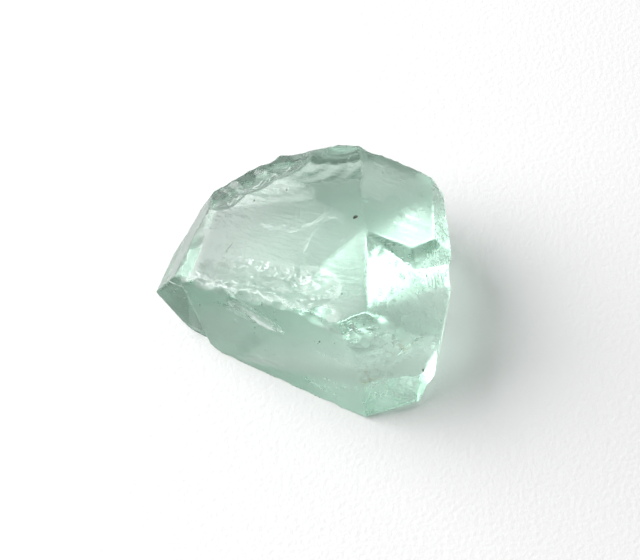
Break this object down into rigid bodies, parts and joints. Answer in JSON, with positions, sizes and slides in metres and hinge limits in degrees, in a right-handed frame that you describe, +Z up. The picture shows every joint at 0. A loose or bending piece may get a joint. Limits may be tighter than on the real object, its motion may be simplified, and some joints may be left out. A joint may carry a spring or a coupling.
{
  "type": "phosphophyllite crystal",
  "caption": "Broken fragment of a clear blue-green mineral crystal that rests on its own flat underside, for display or as a gem rough prop.",
  "frame": {"origin": "middle of the stone's box on the surface it rests on", "axes": "+X along the stone's greatest width, from its thin end to its thick end; +Y to the back; +Z up"},
  "size_m": [0.012, 0.0106, 0.0052],
  "materials": {
    "crystal": "clear pale blue-green crystal, glassy on the top cleavage, satin on the front cleavage and the breaks"
  },
  "bodies": {
    "root": {"crystal": "crystal"}
  },
  "joints": []
}
